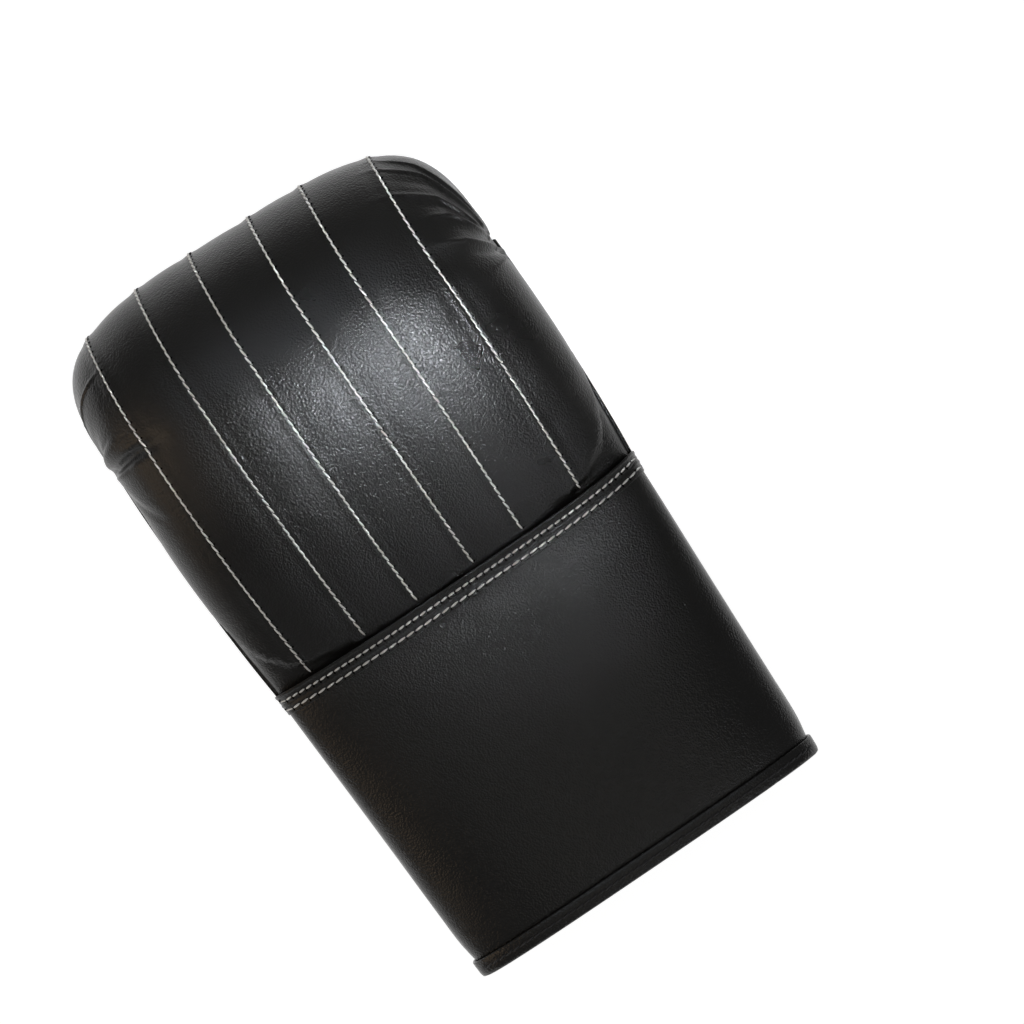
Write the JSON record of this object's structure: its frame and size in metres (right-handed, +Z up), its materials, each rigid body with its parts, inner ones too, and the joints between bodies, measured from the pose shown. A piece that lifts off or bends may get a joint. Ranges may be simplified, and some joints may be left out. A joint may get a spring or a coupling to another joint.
{
  "type": "bag glove",
  "caption": "Padded slip-on punching mitt for a left hand, palm down, with a quilted back, a fist pad curled under the knuckles, a thumb pouch and an elastic wrist",
  "frame": {"origin": "middle of the glove's bounding box, on the surface it lies on", "axes": "+X to the thumb's side, +Y from the hem to the knuckles, +Z up from the palm to the back of the hand"},
  "size_m": [0.166, 0.2866, 0.084],
  "materials": {
    "leather": "semi-gloss, fine grain, black",
    "binding": "satin, smooth, black",
    "elastic": "matt ribbed web, charcoal"
  },
  "bodies": {
    "root": {"back_pad": "leather", "fist_pad": "leather", "cuff": "leather", "palm": "leather", "thumb_pouch": "leather", "finger_pocket": "leather", "vent_gusset": "leather", "vent_facing": "leather", "seam_band": "binding", "hem_binding": "binding", "wrist_elastic": "elastic"}
  },
  "joints": []
}
